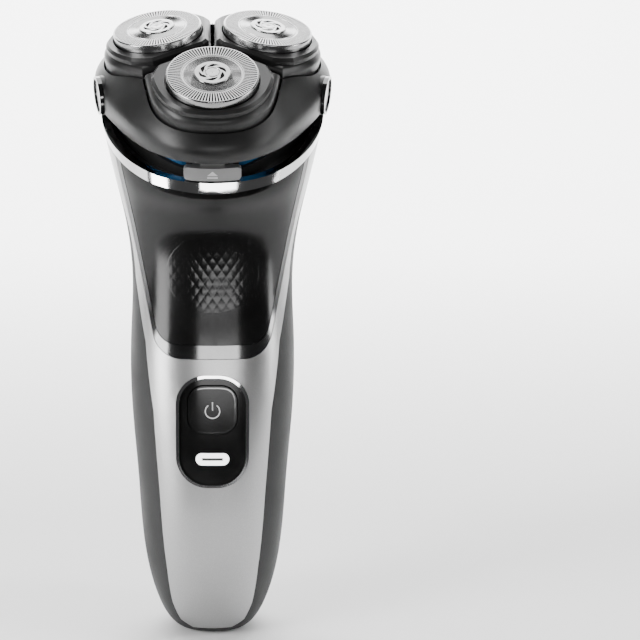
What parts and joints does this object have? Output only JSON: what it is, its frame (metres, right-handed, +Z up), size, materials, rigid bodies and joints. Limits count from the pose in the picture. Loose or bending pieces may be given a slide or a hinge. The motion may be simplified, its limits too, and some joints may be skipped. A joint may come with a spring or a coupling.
{
  "type": "rotary electric shaver",
  "caption": "Upright rotary electric shaver with a forward-leaning round shaving unit, floating slotted guards, a hinged head, a push button, a lamp and a rounded grip.",
  "frame": {"origin": "middle of the flat base under the handle", "axes": "+Z up along the handle, the front with the power button faces -Y, +X to the right of someone looking at the front"},
  "size_m": [0.0622, 0.0615, 0.1656],
  "materials": {
    "grip_rubber": "dark grey soft-touch coat with a fine grain",
    "silver_lacquer": "satin silver lacquer on plastic",
    "gloss_black": "polished black",
    "dark_chrome": "dark plated",
    "bright_chrome": "plated",
    "black_satin": "satin black moulding",
    "lamp_white": "milky lens, lit",
    "board_green": "solder mask",
    "switch_black": "plain",
    "chassis_grey": "plain moulding",
    "cell_sleeve": "shrink sleeve",
    "nickel": "nickel strip",
    "steel": "ground steel",
    "shaver_steel": "turned and slotted stainless",
    "hub_steel": "bright turned",
    "brass": "plain",
    "seal_rubber": "plain",
    "chamber_blue": "tinted translucent",
    "satin_grey": "satin grey lacquer",
    "acetal_white": "natural acetal",
    "carrier_blue": "moulded"
  },
  "bodies": {
    "handle": {"rear_shell": "grip_rubber", "front_cover": "silver_lacquer", "panel_trim": "dark_chrome", "front_panel": "gloss_black", "window_rim": "bright_chrome", "window_panel": "gloss_black", "indicator_lens": "lamp_white", "button_membrane": "seal_rubber", "circuit_board": "board_green", "tact_switch": "switch_black", "indicator_led": "lamp_white", "chassis": "chassis_grey", "battery_cell": "cell_sleeve", "battery_tabs": "nickel", "charge_socket": "black_satin", "charge_pins": "nickel", "collar_ring": "bright_chrome", "drive_deck": "black_satin", "deck_seal": "seal_rubber", "hair_chamber": "chamber_blue", "release_spring": "steel", "motor_plate": "steel", "plate_screws": "steel", "gear_axles": "steel", "motor": "nickel", "hinge_pin": "steel"},
    "power_button": {"power_button": "gloss_black"},
    "release_button": {"release_button": "satin_grey"},
    "rotor": {"motor_shaft": "steel", "motor_pinion": "brass"},
    "head": {"head_holder": "black_satin", "side_badges": "gloss_black", "badge_rings": "bright_chrome"},
    "drive_front": {"drive_gear_front": "acetal_white", "spindle_front": "acetal_white"},
    "frame_front": {"head_frame_front": "black_satin", "retainer_front": "chassis_grey"},
    "guard_body_front": {"guard_front": "shaver_steel", "guard_hub_front": "hub_steel"},
    "cutter_body_front": {"cutter_front": "steel", "cutter_carrier_front": "carrier_blue"},
    "drive_right": {"drive_gear_right": "acetal_white", "spindle_right": "acetal_white"},
    "frame_right": {"head_frame_right": "black_satin", "retainer_right": "chassis_grey"},
    "guard_body_right": {"guard_right": "shaver_steel", "guard_hub_right": "hub_steel"},
    "cutter_body_right": {"cutter_right": "steel", "cutter_carrier_right": "carrier_blue"},
    "drive_left": {"drive_gear_left": "acetal_white", "spindle_left": "acetal_white"},
    "frame_left": {"head_frame_left": "black_satin", "retainer_left": "chassis_grey"},
    "guard_body_left": {"guard_left": "shaver_steel", "guard_hub_left": "hub_steel"},
    "cutter_body_left": {"cutter_left": "steel", "cutter_carrier_left": "carrier_blue"}
  },
  "joints": [
    {"name": "power_button_press", "type": "slide", "parent": "handle", "child": "power_button", "axis": [0, 1, 0], "range_m": [0, 0.0006], "stiffness_N_per_m": 1200},
    {"name": "release_button_press", "type": "slide", "parent": "handle", "child": "release_button", "axis": [0, 0.8846, 0.4664], "range_m": [0, 0.001], "stiffness_N_per_m": 1500, "deforming": ["release_spring"]},
    {"name": "rotor_spin", "type": "hinge", "parent": "handle", "child": "rotor", "pos_m": [0, 0.00506, 0.13233], "axis": [0, -0.4664, 0.8846], "continuous": true},
    {"name": "unit_open", "type": "hinge", "parent": "handle", "child": "head", "pos_m": [0, 0.02574, 0.15228], "axis": [-1, 0, 0], "range_deg": [0, 100]},
    {"name": "drive_front_spin", "type": "hinge", "parent": "handle", "child": "drive_front", "pos_m": [0, -0.00874, 0.12506], "axis": [0, -0.4664, 0.8846], "continuous": true},
    {"name": "frame_front_tilt", "type": "hinge", "parent": "head", "child": "frame_front", "pos_m": [0, -0.01529, 0.14445], "axis": [1, 0, 0], "range_deg": [-3, 3], "stiffness_Nm_per_rad": 0.6},
    {"name": "guard_front_float", "type": "slide", "parent": "frame_front", "child": "guard_body_front", "axis": [0, -0.5878, 0.809], "range_m": [-0.001, 0], "stiffness_N_per_m": 900},
    {"name": "cutter_front_spin", "type": "hinge", "parent": "guard_body_front", "child": "cutter_body_front", "pos_m": [0, -0.02083, 0.14698], "axis": [0, -0.5878, 0.809], "continuous": true},
    {"name": "drive_right_spin", "type": "hinge", "parent": "handle", "child": "drive_right", "pos_m": [0.01351, 0.01196, 0.13597], "axis": [0, -0.4664, 0.8846], "continuous": true},
    {"name": "frame_right_tilt", "type": "hinge", "parent": "head", "child": "frame_right", "pos_m": [0.01069, 0.00109, 0.15309], "axis": [-0.5, 0.7661, 0.4039], "range_deg": [-3, 3], "stiffness_Nm_per_rad": 0.6},
    {"name": "guard_right_float", "type": "slide", "parent": "frame_right", "child": "guard_body_right", "axis": [0.1235, -0.3985, 0.9088], "range_m": [-0.001, 0], "stiffness_N_per_m": 900},
    {"name": "cutter_right_spin", "type": "hinge", "parent": "guard_body_right", "child": "cutter_body_right", "pos_m": [0.01392, 0.00049, 0.15822], "axis": [0.1235, -0.3985, 0.9088], "continuous": true},
    {"name": "drive_left_spin", "type": "hinge", "parent": "handle", "child": "drive_left", "pos_m": [-0.01351, 0.01196, 0.13597], "axis": [0, -0.4664, 0.8846], "continuous": true},
    {"name": "frame_left_tilt", "type": "hinge", "parent": "head", "child": "frame_left", "pos_m": [-0.01069, 0.00109, 0.15309], "axis": [-0.5, -0.7661, -0.4039], "range_deg": [-3, 3], "stiffness_Nm_per_rad": 0.6},
    {"name": "guard_left_float", "type": "slide", "parent": "frame_left", "child": "guard_body_left", "axis": [-0.1235, -0.3985, 0.9088], "range_m": [-0.001, 0], "stiffness_N_per_m": 900},
    {"name": "cutter_left_spin", "type": "hinge", "parent": "guard_body_left", "child": "cutter_body_left", "pos_m": [-0.01392, 0.00049, 0.15822], "axis": [-0.1235, -0.3985, 0.9088], "continuous": true}
  ],
  "couplings": [
    {"joint": "rotor_spin", "follows": "drive_front_spin", "ratio": -1.1667},
    {"joint": "drive_right_spin", "follows": "drive_front_spin", "ratio": 1},
    {"joint": "drive_left_spin", "follows": "drive_front_spin", "ratio": 1},
    {"joint": "cutter_front_spin", "follows": "drive_front_spin", "ratio": 1},
    {"joint": "cutter_right_spin", "follows": "drive_front_spin", "ratio": 1},
    {"joint": "cutter_left_spin", "follows": "drive_front_spin", "ratio": 1}
  ]
}
